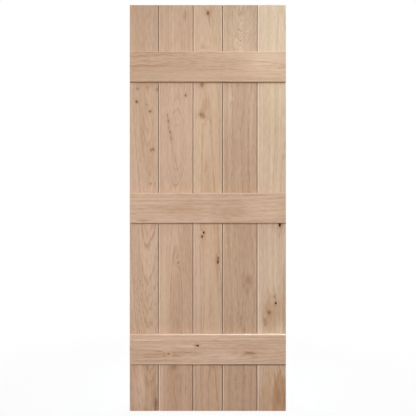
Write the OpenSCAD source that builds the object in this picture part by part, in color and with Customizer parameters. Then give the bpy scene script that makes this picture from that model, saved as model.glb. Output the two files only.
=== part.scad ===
// Ledged door leaf. Tongue-and-groove boards stand side by side, and three ledges across
// one side hold them together. Screws are driven through the boards into the ledges from
// the plain side, and a wooden plug is glued into the hole over each screw's head.
// X runs across the leaf, Y through its thickness with the ledges on the -Y side, and Z up.
// The origin is on the bottom edge, in the middle of the leaf's width and thickness.

/* [Leaf] */
// Height of the boards
door_h = 1981; // [1600:1:2400]
// Face width of each of the two outer boards
outer_board_w = 140; // [100:1:200]
// Face width of each of the two boards beside the centre one
wide_board_w = 169; // [100:1:220]
// Face width of the centre board
centre_board_w = 144; // [100:1:200]
// Thickness of the boards
board_t = 20; // [18:0.5:30]
// Chamfer that eases the leaf's long outer edges
edge_arris = 1.5; // [0.5:0.5:4]

/* [Tongue and groove] */
// Thickness of a tongue
tongue_t = 6; // [4:0.5:8]
// Length of a tongue from its shoulder to its tip
tongue_l = 7; // [5:0.5:10]
// Chamfer on the two corners of a tongue's tip
tongue_chamfer = 1; // [0.25:0.25:1.5]
// Room on each face of a tongue in its groove
groove_fit = 0.2; // [0.1:0.05:0.5]
// Room past the tip of a tongue in its groove
groove_end_room = 1; // [0.5:0.25:2]
// Gap between neighbouring shoulders, which lets the boards swell
shoulder_gap = 1; // [0.5:0.25:2]
// Depth of the chamfers that make the V of a joint, on both sides of the leaf
v_depth = 2; // [1:0.5:4.5]

/* [Ledges] */
// Width of a ledge, measured up the leaf
ledge_w = 146; // [100:1:200]
// Thickness of the ledges
ledge_t = 20; // [16:0.5:30]
// Bare board above the top ledge, and below the bottom one
ledge_inset = 232; // [100:1:350]
// Chamfer along the two long front edges of a ledge
ledge_chamfer = 1; // [0.5:0.5:8]
// How far each end of a ledge stays back from the leaf's edge
ledge_short = 2.5; // [0:0.5:15]

/* [Fixings] */
// Distance of a screw from the nearer side of its board's face
screw_edge = 35; // [20:1:45]
// Distance of a screw above or below the middle of its ledge
screw_rise = 32; // [10:1:40]
// Diameter of a screw over its thread
screw_d = 4; // [3:0.5:5]
// Diameter of a screw's countersunk head
screw_head_d = 8; // [7:0.5:9]
// Height of the straight rim round the head
screw_rim = 0.5; // [0.2:0.1:1]
// Length of a screw's point
screw_point = 5; // [3:0.5:8]
// Wood left between a screw's point and the front of its ledge
screw_cover = 4; // [2:0.5:8]
// Clearance all round a screw in the wood
screw_fit = 0.1; // [0.05:0.05:0.3]
// Span of the cross recess in a screw's head
recess_span = 4.4; // [3:0.2:5]
// Width of each slot of the cross recess
recess_w = 1; // [0.6:0.1:1.4]
// Depth of the cross recess
recess_depth = 1.6; // [1:0.1:2]
// Diameter of a plug
plug_d = 10; // [9.5:0.5:14]
// Length of a plug, which is how deep the screw's head lies
plug_l = 6; // [4:0.5:8]
// Clearance all round a plug in its hole
plug_fit = 0.05; // [0.02:0.01:0.1]

/* [Hidden] */

$fn = 48;
// How far a cutter runs past the face that it opens
overrun = 1;

// Face widths of the boards from left to right, as seen from the ledge side
board_w = [outer_board_w, wide_board_w, centre_board_w, wide_board_w, outer_board_w];
last_board = len(board_w) - 1;
door_w = total(board_w, last_board);

// Planes across the thickness: the ledges' front, the ledges' seat on the boards, the plain side
front_y = -(board_t + ledge_t) / 2;
seat_y = front_y + ledge_t;
plain_y = seat_y + board_t;

// Heights of the middle of the top, middle and bottom ledge
ledge_z = [door_h - ledge_inset - ledge_w / 2, door_h / 2, ledge_inset + ledge_w / 2];

groove_depth = tongue_l - shoulder_gap + groove_end_room;
groove_t = tongue_t + 2 * groove_fit;
screw_l = board_t + ledge_t - plug_l - screw_cover;

board_tints = [
    [0.76, 0.64, 0.54], [0.77, 0.65, 0.55], [0.77, 0.65, 0.55], [0.73, 0.61, 0.52], [0.80, 0.69, 0.59]
];
ledge_tints = [[0.79, 0.67, 0.56], [0.77, 0.65, 0.56], [0.75, 0.63, 0.54]];

// Sum of the first values of a list, up to index last
function total(list, last) = last < 0 ? 0 : list[last] + total(list, last - 1);

// Sides of the face of board i: joints with its neighbours, or edges of the leaf
function board_left(i) = total(board_w, i - 1) - door_w / 2;
function board_right(i) = total(board_w, i) - door_w / 2;

// Outlines of a board's right-hand side, from its seat face (y = 0) to its plain face.
// The shoulder is at x = 0 and the board lies to the left of it.
function square_side() = [
    [-edge_arris, 0], [0, edge_arris], [0, board_t - edge_arris], [-edge_arris, board_t]
];
function tongue_side(low = (board_t - tongue_t) / 2, high = (board_t + tongue_t) / 2) = [
    [-v_depth, 0], [0, v_depth],
    [0, low], [tongue_l - tongue_chamfer, low], [tongue_l, low + tongue_chamfer],
    [tongue_l, high - tongue_chamfer], [tongue_l - tongue_chamfer, high], [0, high],
    [0, board_t - v_depth], [-v_depth, board_t]
];
function groove_side(low = (board_t - groove_t) / 2, high = (board_t + groove_t) / 2) = [
    [-v_depth, 0], [0, v_depth],
    [0, low], [-groove_depth, low], [-groove_depth, high], [0, high],
    [0, board_t - v_depth], [-v_depth, board_t]
];

// A side's outline moved to a shoulder, and the same for a left-hand side
function right_hand(side, shoulder) = [for (p = side) [shoulder + p.x, p.y]];
function left_hand(side, shoulder) = [for (k = [len(side) - 1:-1:0]) [shoulder - side[k].x, side[k].y]];

function board_outline(i) = concat(
    i == last_board
        ? right_hand(square_side(), board_right(i))
        : right_hand(tongue_side(), board_right(i) - shoulder_gap / 2),
    i == 0
        ? left_hand(square_side(), board_left(i))
        : left_hand(groove_side(), board_left(i) + shoulder_gap / 2)
);

// Puts the children at the two fixings of board i on ledge k, one high and one low.
// The children's z = 0 is on the plain side, and their +Z points into the wood.
module at_fixings(i, k) {
    for (side = [[board_left(i) + screw_edge, 1], [board_right(i) - screw_edge, -1]])
        translate([side.x, plain_y, ledge_z[k] + side.y * screw_rise])
            rotate([90, 0, 0])
                children();
}

// Turned shape of a screw, larger by fit all round for the hole that it fills
module screw_shape(fit = 0) {
    head_r = screw_head_d / 2 + fit;
    thread_r = screw_d / 2 + fit;
    cone_end = screw_rim + head_r - thread_r;
    rotate_extrude()
        polygon([
            [0, 0], [head_r, 0], [head_r, screw_rim], [thread_r, cone_end],
            [thread_r, screw_l - screw_point], [0, screw_l + fit]
        ]);
}

module screw() {
    difference() {
        screw_shape();
        for (turn = [0, 90])
            rotate([0, 0, turn])
                translate([-recess_span / 2, -recess_w / 2, -overrun])
                    cube([recess_span, recess_w, recess_depth + overrun]);
    }
}

module plug() {
    cylinder(d = plug_d, h = plug_l);
}

// What is drilled for one fixing: the plug's hole, the head's seat and the screw's own hole
module fixing_hole() {
    translate([0, 0, -overrun])
        cylinder(r = plug_d / 2 + plug_fit, h = plug_l + overrun);
    translate([0, 0, plug_l])
        screw_shape(screw_fit);
}

module board(i) {
    color(board_tints[i])
        difference() {
            translate([0, seat_y, 0])
                linear_extrude(door_h)
                    polygon(board_outline(i));
            for (k = [0:len(ledge_z) - 1])
                at_fixings(i, k) fixing_hole();
        }
}

module ledge(k) {
    color(ledge_tints[k])
        difference() {
            translate([ledge_short - door_w / 2, 0, ledge_z[k] - ledge_w / 2])
                rotate([90, 0, 90])
                    linear_extrude(door_w - 2 * ledge_short)
                        polygon([
                            [front_y, ledge_chamfer], [front_y + ledge_chamfer, 0], [seat_y, 0],
                            [seat_y, ledge_w], [front_y + ledge_chamfer, ledge_w],
                            [front_y, ledge_w - ledge_chamfer]
                        ]);
            for (i = [0:last_board])
                at_fixings(i, k) fixing_hole();
        }
}

module ledge_screws(k) {
    color("silver")
        for (i = [0:last_board])
            at_fixings(i, k)
                translate([0, 0, plug_l])
                    screw();
}

module ledge_plugs(k) {
    color([0.72, 0.59, 0.47])
        for (i = [0:last_board])
            at_fixings(i, k) plug();
}

board(0);  // left_outer_board
board(1);  // left_wide_board
board(2);  // centre_board
board(3);  // right_wide_board
board(4);  // right_outer_board
ledge(0);  // top_ledge
ledge(1);  // middle_ledge
ledge(2);  // bottom_ledge
ledge_screws(0);  // top_ledge_screws
ledge_screws(1);  // middle_ledge_screws
ledge_screws(2);  // bottom_ledge_screws
ledge_plugs(0);  // top_ledge_plugs
ledge_plugs(1);  // middle_ledge_plugs
ledge_plugs(2);  // bottom_ledge_plugs
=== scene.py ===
import math
from dataclasses import dataclass

import bmesh
import bpy
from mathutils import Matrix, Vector, noise


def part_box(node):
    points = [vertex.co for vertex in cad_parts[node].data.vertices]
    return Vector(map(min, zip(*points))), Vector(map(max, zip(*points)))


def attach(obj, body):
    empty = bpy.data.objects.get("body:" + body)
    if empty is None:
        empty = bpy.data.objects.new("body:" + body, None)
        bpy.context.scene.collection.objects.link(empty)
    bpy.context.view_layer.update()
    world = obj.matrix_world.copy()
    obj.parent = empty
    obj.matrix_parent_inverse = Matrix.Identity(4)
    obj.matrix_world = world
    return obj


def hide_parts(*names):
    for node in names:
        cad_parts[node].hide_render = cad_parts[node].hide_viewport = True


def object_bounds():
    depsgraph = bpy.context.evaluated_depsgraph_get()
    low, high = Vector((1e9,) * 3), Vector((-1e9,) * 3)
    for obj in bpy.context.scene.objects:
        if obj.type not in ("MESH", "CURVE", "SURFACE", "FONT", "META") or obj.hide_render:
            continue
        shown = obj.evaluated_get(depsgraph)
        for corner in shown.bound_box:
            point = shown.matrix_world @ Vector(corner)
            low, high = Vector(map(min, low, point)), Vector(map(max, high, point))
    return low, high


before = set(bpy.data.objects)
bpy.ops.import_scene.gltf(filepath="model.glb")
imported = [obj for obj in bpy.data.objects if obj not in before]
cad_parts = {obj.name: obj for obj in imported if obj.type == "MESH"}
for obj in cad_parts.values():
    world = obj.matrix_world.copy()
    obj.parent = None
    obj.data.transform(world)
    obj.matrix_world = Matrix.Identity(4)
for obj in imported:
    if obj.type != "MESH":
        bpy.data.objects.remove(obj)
cad_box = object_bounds()

# Lengths of the leaf are in millimetres, with x from its middle and z from its bottom edge.
MM = 0.001
BODY = "root"
BOARDS = ("left_outer_board", "left_wide_board", "centre_board", "right_wide_board", "right_outer_board")
LEDGES = ("top_ledge", "middle_ledge", "bottom_ledge")
# Places of the joints, and how much of its dust and painted shade each of them shows
JOINTS = {-241: 0.6, -72: 0.85, 72: 0.75, 241: 0.85}


@dataclass
class Knot:
    """A knot in a face: a dark core with a brown halo, and a pit where the core has dried out. Stretch
    is how many times longer it is along the grain."""

    x: float
    z: float
    radius: float
    dark: float = 0.6
    halo: float = 0.25
    stretch: float = 1.2
    pit: float = 0.0


@dataclass
class Patch:
    """A darker or paler stretch of wood with ragged sides, which may slant across the grain. Shade is
    below 0 where it is darker. Solid is the share of its half sizes up to which it is at its full shade."""

    x: float
    z: float
    half_x: float
    half_z: float
    shade: float
    slant: float = 0.0
    solid: float = 0.35


@dataclass
class Swell:
    """A stretch of a log that bends, where its pith is nearer to the face or farther from it, and
    where its rings may show more or less."""

    along: float
    half: float
    depth: float
    figure: float = 0.0


@dataclass
class Timber:
    """The colour of one piece of oak, and how it was sawn from its log. Along is the way that the
    grain runs and across is square to it. The pith is the log's middle line, below the face. The painted
    highlight share is how much of a painted highlight a ledge's upper arris gets toward its right end."""

    tint: tuple
    seed: float
    pith: float
    pith_depth: float
    lean: float = 0.0
    dive: float = 0.0
    ring: float = 5.5
    figure: float = 1.0
    rough: float = 1.0
    painted_highlight: float = 0.0
    swells: tuple = ()
    knots: tuple = ()
    patches: tuple = ()


TIMBERS = {
    "left_outer_board": Timber(
        tint=(194, 165, 142), seed=1.7, pith=-287, pith_depth=128, dive=-0.055, ring=4.0, figure=1.2,
        rough=1.8, swells=(Swell(660, 300, 0, figure=1.2),),
        knots=(
            Knot(-347, 1509, 5.0, dark=0.8), Knot(-281, 1462, 5.0, dark=0.65),
            Knot(-342, 1573, 4.0, dark=0.5), Knot(-298, 1495, 4.0, dark=0.3),
            Knot(-247, 1569, 5.0, dark=0.4), Knot(-277, 1273, 4.0, dark=0.55),
            Knot(-266, 1277, 4.5, dark=0.7), Knot(-280, 1110, 4.0, dark=0.25),
            Knot(-254, 32, 6.0, dark=0.5, stretch=5.0),
        ),
        patches=(
            Patch(-260, 110, 11, 150, -0.5), Patch(-300, 90, 7, 120, -0.2), Patch(-335, 100, 36, 150, 0.9),
            Patch(-320, 1330, 8, 120, -0.25), Patch(-285, 1190, 9, 110, -0.25),
            Patch(-335, 1180, 7, 130, -0.2), Patch(-311, 600, 100, 430, 0.25),
        ),
    ),
    "left_wide_board": Timber(
        tint=(196, 167, 144), seed=4.1, pith=-150, pith_depth=66, ring=5.6,
        swells=(Swell(1290, 165, -34, figure=-0.35), Swell(520, 330, -16)),
        knots=(
            Knot(-108, 1540, 4.5, dark=0.65), Knot(-193, 1415, 4.0, dark=0.45, stretch=2.0),
            Knot(-184, 1362, 4.0, dark=0.45), Knot(-198, 1442, 3.0, dark=0.3, stretch=2.0),
            Knot(-192, 1382, 3.0, dark=0.3, stretch=2.0), Knot(-180, 1330, 3.0, dark=0.25, stretch=2.5),
            Knot(-146, 724, 5.0, dark=0.3),
            Knot(-166, 216, 11.0, dark=0.22),
        ),
        patches=(
            Patch(-214, 470, 34, 400, 0.45), Patch(-120, 520, 62, 420, -0.17, slant=0.08, solid=1.0),
            Patch(-189, 1398, 11, 75, -0.3, slant=-0.12), Patch(-178, 1330, 8, 60, -0.3, slant=-0.16),
            Patch(-163, 1245, 5, 60, -0.35, slant=-0.2), Patch(-146, 1170, 4, 50, -0.35, slant=-0.25),
            Patch(-110, 1935, 10, 36, -0.5), Patch(-135, 1320, 24, 150, 0.1), Patch(-160, 80, 100, 190, -0.1),
            Patch(-224, 90, 12, 150, 0.4),
        ),
    ),
    "centre_board": Timber(
        tint=(195, 166, 142), seed=7.3, pith=34, pith_depth=95, lean=-0.03, dive=0.012, ring=5.4,
        knots=(
            Knot(1, 1942, 6.0, dark=0.75, halo=0.4), Knot(-28, 1593, 7.0, dark=0.5, stretch=1.6),
            Knot(-31, 1446, 7.0, dark=0.32, halo=0.5), Knot(-18, 1437, 4.0, dark=0.3, stretch=1.6),
            Knot(-20, 871, 3.8, dark=0.95, pit=3.5), Knot(-28, 851, 4.8, dark=0.85, stretch=1.4),
            Knot(50, 746, 5.0, dark=0.6, stretch=1.5), Knot(50, 727, 4.0, dark=0.95, stretch=2.0, pit=4.0),
        ),
        patches=(
            Patch(-50, 1457, 9, 140, 0.2), Patch(-24, 1452, 20, 36, -0.6), Patch(-10, 1190, 9, 40, -0.5),
            Patch(10, 850, 60, 140, -0.12), Patch(5, 1915, 5, 45, -0.7, slant=-0.15),
            Patch(-22, 1778, 14, 18, -0.45), Patch(0, 1772, 16, 12, -0.3), Patch(45, 690, 8, 90, -0.4),
            Patch(-20, 1560, 6, 40, -0.2), Patch(-52, 560, 10, 140, 0.2),
            Patch(10, 480, 8, 120, -0.2), Patch(0, 80, 90, 190, -0.08),
            Patch(-14, 1960, 4, 22, -0.45, slant=-0.65), Patch(20, 1957, 4, 26, -0.5, slant=0.76),
        ),
    ),
    "right_wide_board": Timber(
        tint=(187, 160, 137), seed=11.9, pith=156, pith_depth=84, ring=4.8, rough=3.0,
        swells=(Swell(2000, 250, -60, figure=1.9),),
        knots=(Knot(196, 640, 8.0, dark=0.15),),
        patches=(
            Patch(92, 1450, 26, 230, 0.3, slant=0.15), Patch(206, 1430, 4, 170, 0.7),
            Patch(168, 1330, 80, 330, -0.19, slant=0.1, solid=1.0), Patch(190, 625, 28, 60, -0.4),
            Patch(156, 800, 90, 130, -0.12), Patch(150, 1830, 70, 160, 0.6), Patch(156, 80, 120, 200, -0.08),
            Patch(156, 560, 130, 330, -0.07, solid=0.8),
        ),
    ),
    "right_outer_board": Timber(
        tint=(202, 178, 155), seed=15.2, pith=402, pith_depth=70, lean=-0.02, dive=0.02, ring=5.2, figure=0.7,
        knots=(
            Knot(351, 907, 5.5, dark=0.97, halo=0.4, stretch=1.5, pit=5.0),
            Knot(332, 526, 3.8, dark=0.97, pit=3.5), Knot(300, 480, 6.0, dark=0.55, halo=0.5),
            Knot(326, 557, 6.0, dark=0.3), Knot(280, 434, 9.0, dark=0.25, stretch=2.0),
            Knot(347, 70, 12.0, dark=0.1, halo=0.15, stretch=3.0),
        ),
        patches=(
            Patch(252, 520, 14, 900, 0.25), Patch(318, 480, 58, 115, -0.6), Patch(345, 890, 40, 42, -0.3),
            Patch(312, 60, 80, 190, -0.5), Patch(352, 40, 34, 160, -0.5, solid=0.85),
            Patch(372, 420, 9, 260, -0.4), Patch(335, 130, 8, 100, -0.25, slant=0.3),
            Patch(366, 120, 6, 90, -0.35, slant=-0.15), Patch(345, 75, 9, 40, -0.4),
            Patch(374, 35, 10, 60, -0.6), Patch(335, 1240, 10, 200, -0.15),
        ),
    ),
    "top_ledge": Timber(
        tint=(192, 163, 138), seed=19.6, pith=1690, pith_depth=48, dive=0.02, lean=-0.03, ring=5.4,
        swells=(Swell(-230, 130, -14),),
        patches=(
            Patch(-290, 1679, 110, 6, -0.7), Patch(-330, 1726, 75, 3, -0.8), Patch(-230, 1731, 70, 3, -0.6),
            Patch(-300, 1702, 70, 4, -0.45), Patch(-190, 1690, 70, 3, -0.5, slant=0.05),
            Patch(-150, 1716, 70, 3, -0.4), Patch(-200, 1744, 170, 4, -0.6), Patch(0, 1745, 90, 4, -0.5),
            # Patch(290, 1690, 120, 70, 0.75) is a painted pool of light on the ledge's right end, where the
            # top right of the leaf is lit most
            Patch(290, 1690, 120, 70, 0.75), Patch(290, 1680, 95, 3, -0.5), Patch(310, 1640, 80, 3, -0.7),
            Patch(230, 1656, 110, 3, -0.5), Patch(290, 1668, 70, 3, 0.5),
        ),
    ),
    "middle_ledge": Timber(
        tint=(195, 166, 143), seed=23.8, pith=950, pith_depth=70, lean=0.05, ring=5.2,
        patches=(
            Patch(-310, 928, 45, 5, -0.8), Patch(-300, 990, 80, 30, 0.15), Patch(-97, 990, 90, 90, -0.2),
            Patch(90, 990, 90, 90, -0.15), Patch(290, 995, 110, 70, 0.5), Patch(-60, 1010, 150, 4, -0.4),
            Patch(120, 960, 160, 4, -0.4),
            Patch(-245, 1000, 110, 10, -0.3), Patch(-150, 982, 90, 7, -0.3), Patch(215, 1052, 60, 6, -0.35),
        ),
    ),
    "bottom_ledge": Timber(
        tint=(202, 172, 149), seed=28.4, pith=290, pith_depth=60, lean=0.04, dive=0.02, ring=5.6,
        painted_highlight=1.0,
        knots=(
            Knot(-48, 323, 4.0, dark=0.9, pit=3.0), Knot(-61, 324, 3.5, dark=0.4),
            Knot(-190, 284, 4.0, dark=0.6), Knot(204, 286, 5.0, dark=0.35, halo=0.3, stretch=4.0),
        ),
        patches=(
            Patch(205, 289, 40, 4, -0.8, slant=-0.12), Patch(222, 272, 26, 9, -0.5),
            Patch(178, 279, 18, 6, -0.4), Patch(240, 314, 110, 16, -0.3, slant=-0.05),
            Patch(95, 272, 58, 18, 0.5), Patch(-240, 274, 150, 11, -0.4), Patch(-260, 283, 120, 4, -0.5),
            Patch(-130, 290, 90, 4, -0.6), Patch(-280, 260, 110, 3, 0.6), Patch(-80, 262, 110, 3, 0.5),
            Patch(5, 274, 60, 3, 0.6, slant=0.22), Patch(-230, 250, 160, 8, -0.45),
            Patch(-300, 342, 90, 4, -0.25), Patch(-98, 318, 55, 8, 0.7), Patch(-250, 310, 110, 6, 0.6),
            # Patch(0, 236, 420, 4, 0.6) is a painted highlight along the ledge's lower arris
            Patch(100, 345, 140, 4, -0.15), Patch(0, 236, 420, 4, 0.6),
            Patch(-190, 368, 260, 5, 0.5), Patch(0, 358, 420, 9, 0.75), Patch(-300, 351, 120, 6, 1.0),
            Patch(-90, 299, 110, 8, -0.35),
        ),
    ),
}


# Meshes

# Neighbouring triangles that differ by less than the first angle are one flat face, and outward edges
# that turn by more than the second one are eased
FLAT_ANGLE = math.radians(1)
EASED_ANGLE = math.radians(25)
EASE = 0.6
PLUG_EASE = 0.25
# Shorter edges stay sharp on boards and ledges: those round the holes and at the ends of chamfers
SHORTEST_EASED = 4.0
# Corners that are closer together than this are one corner
SAME_CORNER = 0.001
# How near to a plane or a point something is that lies there
ON_PLANE = 0.01
ON_POINT = 0.1
# The y of the normal of a face that looks to the front is below this
FRONT_NORMAL = -0.999
# Half the size of the field that is divided for a pit, in radii of its knot, and the cuts in each edge of it
PIT_FIELD = 1.9
PIT_CUTS = 11
# How ragged the wall of a pit is, as a share of its radius, and how often its noise repeats in a metre
PIT_RAGGED = 0.35
PIT_LUMPS = 400


def merged_copy(node):
    """A node's shape with its loose triangles joined and each flat face made whole."""
    shape = bmesh.new()
    shape.from_mesh(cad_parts[node].data)
    bmesh.ops.remove_doubles(shape, verts=shape.verts, dist=SAME_CORNER * MM)
    bmesh.ops.dissolve_limit(shape, angle_limit=FLAT_ANGLE, verts=shape.verts, edges=shape.edges)
    return shape


def ease_edges(shape, ease, shortest):
    """Rounds over the outward edges of a shape, as sandpaper does."""
    sharp = [
        edge for edge in shape.edges
        if edge.calc_face_angle_signed() > EASED_ANGLE and edge.calc_length() > shortest
    ]
    bmesh.ops.bevel(
        shape, geom=sharp, offset=ease, offset_type="OFFSET", affect="EDGES",
        segments=3, profile=0.5, material=-1, clamp_overlap=True,
    )


def open_knot(shape, knot, face_y):
    """Presses a ragged pit into the flat face at face_y, in a field that is first cut free and divided."""
    middle = Vector((knot.x * MM, face_y, knot.z * MM))
    half_x = PIT_FIELD * knot.radius * MM
    half = Vector((half_x, 0, half_x * knot.stretch))
    for axis in (Vector((1, 0, 0)), Vector((0, 0, 1))):
        for side in (-1, 1):
            faces = [
                face for face in shape.faces
                if face.normal.y < FRONT_NORMAL and abs(face.calc_center_median().y - face_y) < ON_PLANE * MM
            ]
            edges = {edge for face in faces for edge in face.edges}
            verts = {vert for face in faces for vert in face.verts}
            bmesh.ops.bisect_plane(
                shape, geom=[*faces, *edges, *verts], dist=SAME_CORNER * MM,
                plane_co=middle + side * half, plane_no=axis,
            )
    field = [
        face for face in shape.faces
        if (face.calc_center_median() - middle).length < ON_POINT * MM and face.normal.y < FRONT_NORMAL
    ]
    edges = {edge for face in field for edge in face.edges}
    bmesh.ops.subdivide_edges(shape, edges=list(edges), cuts=PIT_CUTS, use_grid_fill=True)
    for vert in shape.verts:
        offset = vert.co - middle
        if abs(offset.y) > ON_PLANE * MM or abs(offset.x) > half.x or abs(offset.z) > half.z:
            continue
        ragged = 1 + PIT_RAGGED * noise.noise(vert.co * PIT_LUMPS)
        share = math.hypot(offset.x, offset.z / knot.stretch) / (knot.radius * MM * ragged)
        if share < 1:
            vert.co.y += knot.pit * MM * (1 - share ** 3) * ragged
            for face in vert.link_faces:
                face.smooth = True


def split_long_faces(shape):
    """Splits the faces with many corners into well-shaped triangles."""
    faces = [face for face in shape.faces if len(face.verts) > 4]
    bmesh.ops.triangulate(shape, faces=faces, quad_method="BEAUTY", ngon_method="BEAUTY")


def piece(name, shape, node, material):
    """Makes an object of a finished shape, which stands for a node of the frame."""
    mesh = bpy.data.meshes.new(name)
    shape.to_mesh(mesh)
    shape.free()
    made = bpy.data.objects.new(name, mesh)
    bpy.context.scene.collection.objects.link(made)
    made.data.materials.append(material)
    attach(made, BODY)
    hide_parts(node)


# Shader values

class Value:
    """An output of a material's node tree. Arithmetic on it adds Math nodes to the tree."""

    def __init__(self, tree, socket):
        self.tree = tree
        self.socket = socket

    def node(self, kind, settings=None, sockets=None, output=0):
        """An output of a new node. Its settings are set first, then its inputs are set or linked."""
        made = self.tree.nodes.new(kind)
        for name, setting in (settings or {}).items():
            setattr(made, name, setting)
        for name, value in (sockets or {}).items():
            if isinstance(value, Value):
                self.tree.links.new(value.socket, made.inputs[name])
            else:
                made.inputs[name].default_value = value
        return Value(self.tree, made.outputs[output])

    def math(self, operation, first, second=0.0):
        return self.node("ShaderNodeMath", {"operation": operation}, {0: first, 1: second})

    def __add__(self, other):
        return self.math("ADD", self, other)

    def __radd__(self, other):
        return self.math("ADD", other, self)

    def __sub__(self, other):
        return self.math("SUBTRACT", self, other)

    def __rsub__(self, other):
        return self.math("SUBTRACT", other, self)

    def __mul__(self, other):
        return self.math("MULTIPLY", self, other)

    def __rmul__(self, other):
        return self.math("MULTIPLY", other, self)

    def __truediv__(self, other):
        return self.math("DIVIDE", self, other)

    def root(self):
        return self.math("SQRT", self)

    def fraction(self):
        return self.math("FRACT", self)

    def size(self):
        return self.math("ABSOLUTE", self)

    def hill(self):
        """1 where the value is 0, falling off smoothly on both sides."""
        return self.math("POWER", math.exp(-1), self * self)

    def step(self, start, end):
        """0 up to start, 1 from end on, and smooth between. Start may be the larger one."""
        low, high, first, last = (start, end, 0.0, 1.0) if start < end else (end, start, 1.0, 0.0)
        return self.node(
            "ShaderNodeMapRange", {"interpolation_type": "SMOOTHSTEP"},
            {"Value": self, "From Min": low, "From Max": high, "To Min": first, "To Max": last},
        )

    def step_mm(self, start, end):
        """A step between two lengths in millimetres."""
        return self.step(start * MM, end * MM)


def mix(factor, first, second, blend="MIX"):
    """A colour between two colours, or the first colour multiplied by part of the second."""
    settings = {"data_type": "RGBA", "clamp_factor": True, "blend_type": blend}
    return factor.node("ShaderNodeMix", settings, {0: factor, 6: first, 7: second}, output=2)


def tinted(factor, colour, shares):
    """A colour whose red, green and blue are multiplied by shares, in full where the factor is 1."""
    return mix(factor, colour, (*shares, 1.0), "MULTIPLY")


def noise_along(value, scale, detail=2.0):
    """Smooth noise along one value, about 0.5."""
    return value.node(
        "ShaderNodeTexNoise", {"noise_dimensions": "1D"},
        {"W": value, "Scale": scale, "Detail": detail, "Roughness": 0.5},
    )


def noise_in(point, stretch, detail=2.0, roughness=0.5):
    """Smooth noise in space, about 0.5. Stretch is how many times it repeats for each metre, by axis."""
    scaled = point.node("ShaderNodeVectorMath", {"operation": "MULTIPLY"}, {0: point, 1: stretch})
    return scaled.node(
        "ShaderNodeTexNoise", {"noise_dimensions": "3D"},
        {"Vector": scaled, "Scale": 1.0, "Detail": detail, "Roughness": roughness},
    )


def shown(red, green, blue):
    """A colour given as it shows on a screen, from 0 to 255, in the linear values of a shader."""
    linear = [
        share / 12.92 if share <= 0.04045 else ((share + 0.055) / 1.055) ** 2.4
        for share in (red / 255, green / 255, blue / 255)
    ]
    return (*linear, 1.0)


def times(colour, shares):
    """A linear colour with its red, green and blue each multiplied by a share."""
    return (*(part * share for part, share in zip(colour, shares)), 1.0)


def new_material(name):
    """A material with its shader, and a value to start its node tree from."""
    material = bpy.data.materials.new(name)
    material.use_nodes = True
    tree = material.node_tree
    shader = tree.nodes["Principled BSDF"]
    start = Value(tree, tree.nodes.new("ShaderNodeTexCoord").outputs["Object"])
    return material, shader, start


def axes_of(point):
    """The three coordinates of a point."""
    split = point.tree.nodes.new("ShaderNodeSeparateXYZ")
    point.tree.links.new(point.socket, split.inputs[0])
    return [Value(point.tree, output) for output in split.outputs]


def normal_at(place):
    """The three coordinates of the surface's normal, from the node that gives the place."""
    return axes_of(Value(place.tree, place.socket.node.outputs["Normal"]))


# Oak

# How often a pattern repeats in a metre: across the grain, into the wood and along the grain
KNOT_EDGE = (260, 260, 140)
RING_WAVE = (10, 10, 1.6)
RING_EDGE = (120, 120, 16)
EARLY_DASH = (420, 420, 26)
PORE = (2300, 2300, 95)
RAY = (900, 260, 46)
MOTTLE = (14, 14, 2.6)
STREAK = (95, 95, 1.9)
FIBRE = (170, 170, 22)
HUE = (8, 8, 1.6)

# Parts of a knot, in its radii: how ragged it is, the rings that it pushes aside, its core, the ring of
# bark round the core and how much of the bark shows, the hole of a pit, and the halo
KNOT_RAGGED = 2.0
PUSHED_HALF = 3.2
PUSHED_BY = 1.3
CORE_EDGE = (1.4, 0.5)
BARK_AT = 1.0
BARK_HALF = 0.3
BARK_SHARE = 0.4
HOLE_EDGE = (1.1, 0.7)
HALO_HALF = 2.4

# How far the pith wanders, the rings ripple, their edges fray and the patches wave, and how many times
# in a metre the pith and the patches bend
PITH_WANDER = 40
PITH_BENDS = 1.1
RIPPLE = 11
FRAY = 3.5
PATCH_WAVE = 12
PATCH_BENDS = 14
# Distance from a patch's middle at which it ends, in its half sizes
PATCH_END = 1.3

# How often the width, the strength and the tone of the rings change in a year, and by how many years
# the width varies
WIDTH_CHANGES = 0.23
STRENGTH_CHANGES = 0.7
TONE_CHANGES = 0.33
WIDTH_VARIES = 2.0
# Parts of a year between which the early wood comes in, and between which it goes
EARLY_STARTS = (0.0, 0.1)
EARLY_ENDS = (0.62, 0.18)
# Levels of a noise between which its pattern comes in
DASH_LEVELS = (0.36, 0.62)
STRENGTH_LEVELS = (0.3, 0.65)
PORE_LEVELS = (0.56, 0.68)
RAY_LEVELS = (0.66, 0.74)
HUE_LEVELS = (0.34, 0.66)
# How far a face has to be turned to the end of the grain before it shows end grain
END_FACING = (0.75, 0.95)

# Colours, as shares of the red, green and blue of a piece's tint
PALE_YELLOW = (1.24, 1.26, 1.22)
PALE_PINK = (1.25, 1.25, 1.27)
BROWN_YELLOW = (0.785, 0.68, 0.56)
BROWN_PINK = (0.795, 0.68, 0.595)
HALO_BROWN = (0.58, 0.43, 0.31)
# The joints' colour is dust together with painted shade in their grooves
JOINT_DUST_AND_SHADE = (0.36, 0.31, 0.3)
# The corner's colour is a painted shadow under the bottom ledge
CORNER_PAINTED_SHADOW = (0.3, 0.21, 0.14)
END_GRAIN = (0.52, 0.46, 0.42)
# Shares that multiply the red, green and blue of the wood
DARKER = (0.78, 0.645, 0.53)
DARKEST = (0.76, 0.8, 0.83)
PALER = (1.19, 1.24, 1.29)
# The foot's tint is painted warm bounced light
FOOT_PAINTED_BOUNCE = (1.04, 1.0, 0.995)
# Painted highlights on the arrises of the joints, of the ledges and of a ledge's right end
JOINT_PAINTED_HIGHLIGHT = (1.39, 1.58, 1.72)
LEDGE_PAINTED_HIGHLIGHT = (1.17, 1.29, 1.39)
LEDGE_END_PAINTED_HIGHLIGHT = (1.4, 1.62, 1.84)
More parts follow.
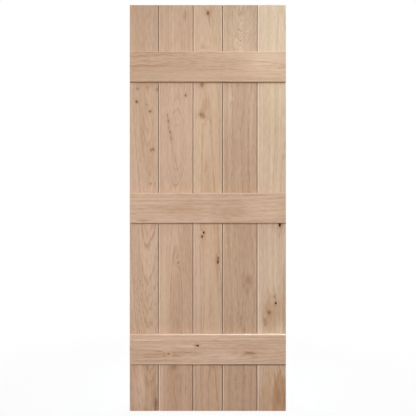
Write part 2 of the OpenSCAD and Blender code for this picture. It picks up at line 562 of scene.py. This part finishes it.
# Colours as they show on a screen
KNOT_CORE = (102, 58, 29)
KNOT_HOLE = (38, 23, 14)

# How much of the dirt in the end grain and of the painted shadow in the corner under the bottom ledge shows
END_SHARE = 0.6
CORNER_SHADOW_SHARE = 0.85
# The wood's sheen, and the strength and depth of its relief
WOOD_SHEEN = 0.3
RELIEF = 0.35
RELIEF_DEPTH = 0.2

# Where the dust, the painted shade and the painted highlights start and where they are full. The foot, the
# corner and the ledge's end are places on the leaf, and the others are distances from a joint or from a
# ledge's upper edge
FOOT = (330, 200)
CORNER_FROM_BELOW = (218, 228)
CORNER_FROM_ABOVE = (235, 232)
CORNER_DEPTH = (4, 3)
CORNER_RIGHT = (-250, 150)
LEDGE_END = (-350, 381)
DUST_AND_SHADE_EDGE = (2.4, 1.4)
PAINTED_HIGHLIGHT_INSIDE = (2.0, 2.6)
PAINTED_HIGHLIGHT_OUTSIDE = (7.5, 5.0)
LEDGE_HIGHLIGHT_FROM = 5.5
LEDGE_HIGHLIGHT_FULL = 2.5
# The dust and painted shade in a joint lean to the right, lie a little to the left at mid height, and are
# wider at the foot
MID_HEIGHT = 990
DUST_AND_SHADE_LEAN = 0.0012
DUST_AND_SHADE_SHIFT = 0.4
FOOT_DUST_AND_SHADE = 0.4
# How much painted highlight the arris on the left of a joint gets, how much more the right one gets, and at
# the foot
LEFT_SHARE = 0.2
RIGHT_SHARE = 0.45
FOOT_SHARE = 0.35


def knot_marks(timber, x, z, grain, upright):
    """How far knots push the rings aside, and how much of a place is core, hole and halo."""
    push = core = hole = halo = x * 0.0
    warp = noise_in(grain, KNOT_EDGE, detail=1.0) - 0.5
    for knot in timber.knots:
        reach = knot.radius * MM
        from_x = (x - knot.x * MM) / reach
        from_z = (z - knot.z * MM) / reach
        if upright:
            from_z = from_z / knot.stretch
        else:
            from_x = from_x / knot.stretch
        away = (from_x * from_x + from_z * from_z).root() + KNOT_RAGGED * warp
        push = push + (away / PUSHED_HALF).hill() * (PUSHED_BY * reach)
        bark = ((away - BARK_AT) / BARK_HALF).hill()
        core = core + (away.step(*CORE_EDGE) + BARK_SHARE * bark) * knot.dark
        if knot.pit:
            hole = hole + away.step(*HOLE_EDGE)
        halo = halo + (away / HALO_HALF).hill() * (knot.halo * (0.5 + knot.dark))
    return push, core, hole, halo


def ring_marks(timber, across, deep, along, grain, push):
    """Growth rings: years that are darker or paler as a whole, the line of early wood in each of them,
    and how strongly those lines show."""
    wander = (noise_along(along + timber.seed, PITH_BENDS, detail=1.0) - 0.5) * (PITH_WANDER * MM)
    offset = across - (timber.pith * MM + wander) - along * timber.lean
    depth = deep + along * timber.dive + timber.pith_depth * MM
    figure = across * 0.0 + timber.figure
    for swell in timber.swells:
        bend = ((along - swell.along * MM) / (swell.half * MM)).hill()
        depth = depth + bend * (swell.depth * MM)
        figure = figure + bend * swell.figure
    ripple = (noise_in(grain, RING_WAVE) - 0.5) * (RIPPLE * MM)
    fray = (noise_in(grain, RING_EDGE) - 0.5) * (FRAY * MM * timber.rough)
    year = ((offset * offset + depth * depth).root() + ripple + fray + push) / (timber.ring * MM)
    year = year + noise_along(year, WIDTH_CHANGES) * WIDTH_VARIES
    part = year.fraction()
    dashes = noise_in(grain, EARLY_DASH).step(*DASH_LEVELS)
    strength = noise_along(year, STRENGTH_CHANGES, detail=1.0).step(*STRENGTH_LEVELS)
    early = part.step(*EARLY_STARTS) * part.step(*EARLY_ENDS) * strength * (0.3 + 0.7 * dashes)
    years = noise_along(year, TONE_CHANGES, detail=3.0) - 0.5
    return years, early, figure


def patch_marks(timber, x, z, mottle, fibre, upright):
    """How much darker and how much paler the patches make a place."""
    darker = paler = x * 0.0
    along = z if upright else x
    wave = (noise_along(along + 2 * timber.seed, PATCH_BENDS) - 0.5) * (PATCH_WAVE * MM)
    for patch in timber.patches:
        from_x = x - patch.x * MM
        from_z = z - patch.z * MM
        off, lead = (from_x, from_z) if upright else (from_z, from_x)
        wide, long = (patch.half_x, patch.half_z) if upright else (patch.half_z, patch.half_x)
        off = (off - lead * patch.slant - wave) / (wide * MM)
        lead = lead / (long * MM)
        away = (off * off + lead * lead).root() + 0.6 * mottle + 0.9 * fibre
        inside = away.step(PATCH_END, patch.solid)
        if patch.shade < 0:
            darker = darker - inside * patch.shade
        else:
            paler = paler + inside * patch.shade
    return darker, paler


def board_dust_and_painted_light(face, base, x, z, deep):
    """A board whose foot is a little redder, as a painted warm bounce of light. The arrises of its joints get
    painted highlights, the joints hold dust with painted shade, and the corner under the bottom ledge, toward
    the right, gets a painted shadow."""
    foot = z.step_mm(*FOOT)
    # Painted warm bounced light at the foot
    face = tinted(foot, face, FOOT_PAINTED_BOUNCE)
    joint_dust_and_shade = painted_highlight = x * 0.0
    lean = (z - MID_HEIGHT * MM) * DUST_AND_SHADE_LEAN - DUST_AND_SHADE_SHIFT * MM
    # Each joint gets dust with painted shade in its groove, and painted highlights on its arrises
    for middle, dust_and_shade in JOINTS.items():
        side = x - middle * MM
        away = side.size()
        joint_dust_and_shade = joint_dust_and_shade + ((side - lean).size() - foot * (FOOT_DUST_AND_SHADE * MM)).step_mm(*DUST_AND_SHADE_EDGE) * dust_and_shade
        share = LEFT_SHARE + (RIGHT_SHARE + FOOT_SHARE * foot) * side.step_mm(-1, 1)
        painted_highlight = painted_highlight + away.step_mm(*PAINTED_HIGHLIGHT_INSIDE) * away.step_mm(*PAINTED_HIGHLIGHT_OUTSIDE) * share
    face = tinted(painted_highlight, face, JOINT_PAINTED_HIGHLIGHT)
    face = mix(joint_dust_and_shade, face, times(base, JOINT_DUST_AND_SHADE))
    # Painted shadow on the boards just under the bottom ledge, toward the right
    corner = z.step_mm(*CORNER_FROM_BELOW) * z.step_mm(*CORNER_FROM_ABOVE) * deep.step_mm(*CORNER_DEPTH)
    corner = corner * x.step_mm(*CORNER_RIGHT)
    return mix(corner * CORNER_SHADOW_SHARE, face, times(base, CORNER_PAINTED_SHADOW))


def ledge_painted_highlights(face, timber, x, z, upper):
    """A ledge whose upper arris gets a painted highlight, on some ledges more so toward the right end."""
    painted_highlight = z.step(upper - LEDGE_HIGHLIGHT_FROM * MM, upper - LEDGE_HIGHLIGHT_FULL * MM)
    face = tinted(painted_highlight, face, LEDGE_PAINTED_HIGHLIGHT)
    # A stronger painted highlight toward the right end
    right = x.step_mm(*LEDGE_END) * timber.painted_highlight
    return tinted(painted_highlight * right, face, LEDGE_END_PAINTED_HIGHLIGHT)


def oak(node, timber, upright):
    """Bare oak: growth rings about a pith that leans and dives, open pores, rays, knots and end grain."""
    material, shader, place = new_material(node + "_oak")
    x, y, z = axes_of(place)
    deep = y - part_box(node)[0].y
    across, along = (x, z) if upright else (z, x)
    seed = timber.seed
    grain = place.node("ShaderNodeCombineXYZ", None, {0: across + seed, 1: deep + seed, 2: along + seed})
    push, core, hole, halo = knot_marks(timber, x, z, grain, upright)
    years, early, figure = ring_marks(timber, across, deep, along, grain, push)

    # Pores lie in dashes, most of them in the early wood, and rays show as fine dark flecks
    pores = noise_in(grain, PORE, detail=1.0).step(*PORE_LEVELS) * (0.35 + 0.65 * early)
    rays = noise_in(grain, RAY, detail=0.0).step(*RAY_LEVELS)
    mottle = noise_in(grain, MOTTLE, detail=3.0) - 0.5
    streak = noise_in(grain, STREAK, detail=3.0) - 0.5
    fibre = noise_in(grain, FIBRE, detail=3.0, roughness=0.6) - 0.5
    darker, paler = patch_marks(timber, x, z, mottle, fibre, upright)

    tone = 0.6 + 0.5 * years - 0.42 * figure * early + 0.5 * mottle + 0.55 * streak + 0.95 * fibre
    tone = tone - 0.2 * pores - 0.1 * rays
    base = shown(*timber.tint)
    hue = noise_in(grain, HUE).step(*HUE_LEVELS)
    pale = mix(hue, times(base, PALE_YELLOW), times(base, PALE_PINK))
    brown = mix(hue, times(base, BROWN_YELLOW), times(base, BROWN_PINK))
    face = mix(tone, brown, pale)
    face = tinted(darker, face, DARKER)
    face = tinted(darker - 1, face, DARKEST)
    face = tinted(paler, face, PALER)
    face = mix(halo, face, times(base, HALO_BROWN))
    face = mix(core, face, shown(*KNOT_CORE))
    face = mix(hole, face, shown(*KNOT_HOLE))
    if upright:
        face = board_dust_and_painted_light(face, base, x, z, deep)
    else:
        face = ledge_painted_highlights(face, timber, x, z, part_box(node)[1].z)

    # End grain takes up more dirt and shows darker
    end = normal_at(place)[2 if upright else 0].size().step(*END_FACING)
    colour = mix(end * END_SHARE, face, times(base, END_GRAIN))

    height = 0.5 * tone - 0.5 * pores - 0.25 * early - core
    bump = height.node(
        "ShaderNodeBump", None, {"Strength": RELIEF, "Distance": RELIEF_DEPTH * MM, "Height": height},
    )
    links = place.tree.links
    links.new(colour.socket, shader.inputs["Base Color"])
    links.new((0.62 + 0.12 * early + 0.14 * pores).socket, shader.inputs["Roughness"])
    links.new(bump.socket, shader.inputs["Normal"])
    shader.inputs["Specular IOR Level"].default_value = WOOD_SHEEN
    return material


# Plugs and screws

# How often the patterns repeat in a metre, by axis
PLUG_FIBRE = (700, 300, 60)
PLUG_MOTTLE = (40, 40, 9)
PLATING = (900, 900, 900)
# How far a plug's rim is turned from its face where the glue starts to show, and where it shows in full
RIM_FACING = (0.99, 0.9)
# Colours as they show on a screen
PLUG_BROWN = (150, 112, 82)
PLUG_PALE = (205, 174, 146)
GLUE = (92, 62, 40)
ZINC_DULL = (190, 186, 170)
ZINC_BRIGHT = (222, 220, 210)


def plug_oak():
    """Oak plugs sanded flush, with a dark line of glue round each rim."""
    material, shader, place = new_material("plug_oak")
    tone = noise_in(place, PLUG_FIBRE, detail=3.0) + 0.6 * (noise_in(place, PLUG_MOTTLE) - 0.5)
    face = mix(tone, shown(*PLUG_BROWN), shown(*PLUG_PALE))
    face = mix(normal_at(place)[1].size().step(*RIM_FACING), face, shown(*GLUE))
    links = place.tree.links
    links.new(face.socket, shader.inputs["Base Color"])
    links.new((0.6 + 0.15 * tone).socket, shader.inputs["Roughness"])
    shader.inputs["Specular IOR Level"].default_value = WOOD_SHEEN
    return material


def zinc():
    """Zinc-plated steel, with the faint blotches of its plating."""
    material, shader, place = new_material("screw_zinc")
    blotch = noise_in(place, PLATING, detail=3.0)
    links = place.tree.links
    links.new(mix(blotch, shown(*ZINC_DULL), shown(*ZINC_BRIGHT)).socket, shader.inputs["Base Color"])
    links.new((0.25 + 0.2 * blotch).socket, shader.inputs["Roughness"])
    shader.inputs["Metallic"].default_value = 1.0
    return material


# Dressing the frame's nodes

for node in BOARDS + LEDGES:
    timber = TIMBERS[node]
    upright = node in BOARDS
    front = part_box(node)[0].y
    shape = merged_copy(node)
    ease_edges(shape, EASE * MM, SHORTEST_EASED * MM)
    for knot in timber.knots:
        if knot.pit:
            open_knot(shape, knot, front)
    split_long_faces(shape)
    piece(node + "_eased", shape, node, oak(node, timber, upright))

plug_material = plug_oak()
screw_material = zinc()
for ledge in LEDGES:
    node = ledge + "_plugs"
    shape = merged_copy(node)
    ease_edges(shape, PLUG_EASE * MM, 0)
    piece(node + "_eased", shape, node, plug_material)
    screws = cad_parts[ledge + "_screws"]
    screws.data.materials.clear()
    screws.data.materials.append(screw_material)


# Floor, light and camera, in metres

CAMERA_DISTANCE = 3.0
CAMERA_RIGHT = 0.001
SEEN_HEIGHT = 2.03
SENSOR_WIDTH = 36
DOOR_MIDDLE = (cad_box[0] + cad_box[1]) / 2
WORLD_LIGHT = 0.4
FLOOR_HALF = 9
FLOOR_PARTS = 8
# Distances from the middle at which the floor has faded to white, and from which it starts to
FLOOR_FADE = (2.4, 0.6)
# Share of the floor's own look, with its shadow, that shows near the object
SHADOW_SHARE = 0.1
# Grey of the floor as its light falls on the object, and as it is seen
BOUNCED_GREY = (115, 115, 115)
SEEN_GREY = (235, 235, 235)
WHITE = (1, 1, 1, 1)


def seen_directly(start):
    """1 for what the camera sees itself, in a mirror or through glass, and 0 for the light of the scene."""
    path = start.tree.nodes.new("ShaderNodeLightPath")
    seen = Value(start.tree, path.outputs["Is Camera Ray"])
    for kind in ("Is Glossy Ray", "Is Transmission Ray"):
        seen = seen.math("MAXIMUM", seen, Value(start.tree, path.outputs[kind]))
    return seen


def white_world(strength):
    """White to look at, and a soft even light of the given strength on the object."""
    world = bpy.data.worlds.new("studio")
    world.use_nodes = True
    bpy.context.scene.world = world
    tree = world.node_tree
    background = tree.nodes["Background"]
    start = Value(tree, background.outputs[0])
    direct = seen_directly(start)
    level = direct + (1 - direct) * strength
    tree.links.new(level.socket, background.inputs["Strength"])
    background.inputs["Color"].default_value = WHITE


def pale_floor():
    """A wide floor that fades to white away from the object, and keeps the object's soft shadow."""
    shape = bmesh.new()
    bmesh.ops.create_grid(shape, x_segments=FLOOR_PARTS, y_segments=FLOOR_PARTS, size=FLOOR_HALF)
    mesh = bpy.data.meshes.new("floor")
    shape.to_mesh(mesh)
    shape.free()
    floor = bpy.data.objects.new("floor", mesh)
    bpy.context.scene.collection.objects.link(floor)
    material, shader, place = new_material("pale_floor")
    x, y = axes_of(place)[:2]
    near = (x * x + y * y).root().step(*FLOOR_FADE)
    direct = seen_directly(place)
    white = place.node("ShaderNodeEmission", None, {"Color": WHITE, "Strength": 1.0})
    mixed = place.node(
        "ShaderNodeMixShader", None,
        {0: direct * (1 - SHADOW_SHARE * near), 1: Value(place.tree, shader.outputs[0]), 2: white},
    )
    output = place.tree.nodes["Material Output"]
    place.tree.links.new(mixed.socket, output.inputs["Surface"])
    grey = mix(direct, shown(*BOUNCED_GREY), shown(*SEEN_GREY))
    place.tree.links.new(grey.socket, shader.inputs["Base Color"])
    shader.inputs["Roughness"].default_value = 0.9
    shader.inputs["Specular IOR Level"].default_value = 0.0
    mesh.materials.append(material)


def soft_lamp(name, place, target, size, power, spread=180, colour=(1, 1, 1)):
    """A rectangular lamp with a soft panel, turned to a target. Size is its width and height, its power
    is in watts and its spread in degrees."""
    data = bpy.data.lights.new(name, "AREA")
    data.shape = "RECTANGLE"
    data.size, data.size_y = size
    data.spread = math.radians(spread)
    data.energy = power
    data.color = colour
    lamp = bpy.data.objects.new(name, data)
    lamp.location = place
    lamp.rotation_euler = (Vector(target) - Vector(place)).to_track_quat("-Z", "Y").to_euler()
    bpy.context.scene.collection.objects.link(lamp)


def camera():
    """Looks straight at the ledge side from half the leaf's height."""
    data = bpy.data.cameras.new("camera")
    data.sensor_width = SENSOR_WIDTH
    data.lens = SENSOR_WIDTH * CAMERA_DISTANCE / SEEN_HEIGHT
    made = bpy.data.objects.new("camera", data)
    made.location = (DOOR_MIDDLE.x + CAMERA_RIGHT, -CAMERA_DISTANCE, DOOR_MIDDLE.z)
    made.rotation_euler = (math.radians(90), 0, 0)
    bpy.context.scene.collection.objects.link(made)
    bpy.context.scene.camera = made


white_world(WORLD_LIGHT)
pale_floor()
soft_lamp("front", (-1.3, -4.2, 2.0), (0.3, 0, 0.95), (1.6, 1.6), 24.5, spread=75)
soft_lamp("left", (-4.2, -3.2, 0.4), (0, 0, 1.0), (1.5, 1.5), 12)
soft_lamp("low", (0.3, -2.2, 0.15), (0, 0, 1.5), (1.4, 0.4), 1.1, spread=90)
soft_lamp(
    "top_right", (1.0, -2.2, 2.7), (0.5, 0, 1.95), (0.4, 0.4), 0.95, spread=32, colour=(0.68, 0.92, 1.0),
)
soft_lamp("above", (0, -0.2, 12.0), (0, 0.5, 0), (0.6, 0.15), 3, spread=10, colour=(0.8, 0.95, 1.0))
soft_lamp("behind", (2.0, 5.0, 2.6), (0, 0, 1.0), (2.4, 2.4), 200)
camera()
bpy.context.scene.view_settings.view_transform = "Standard"
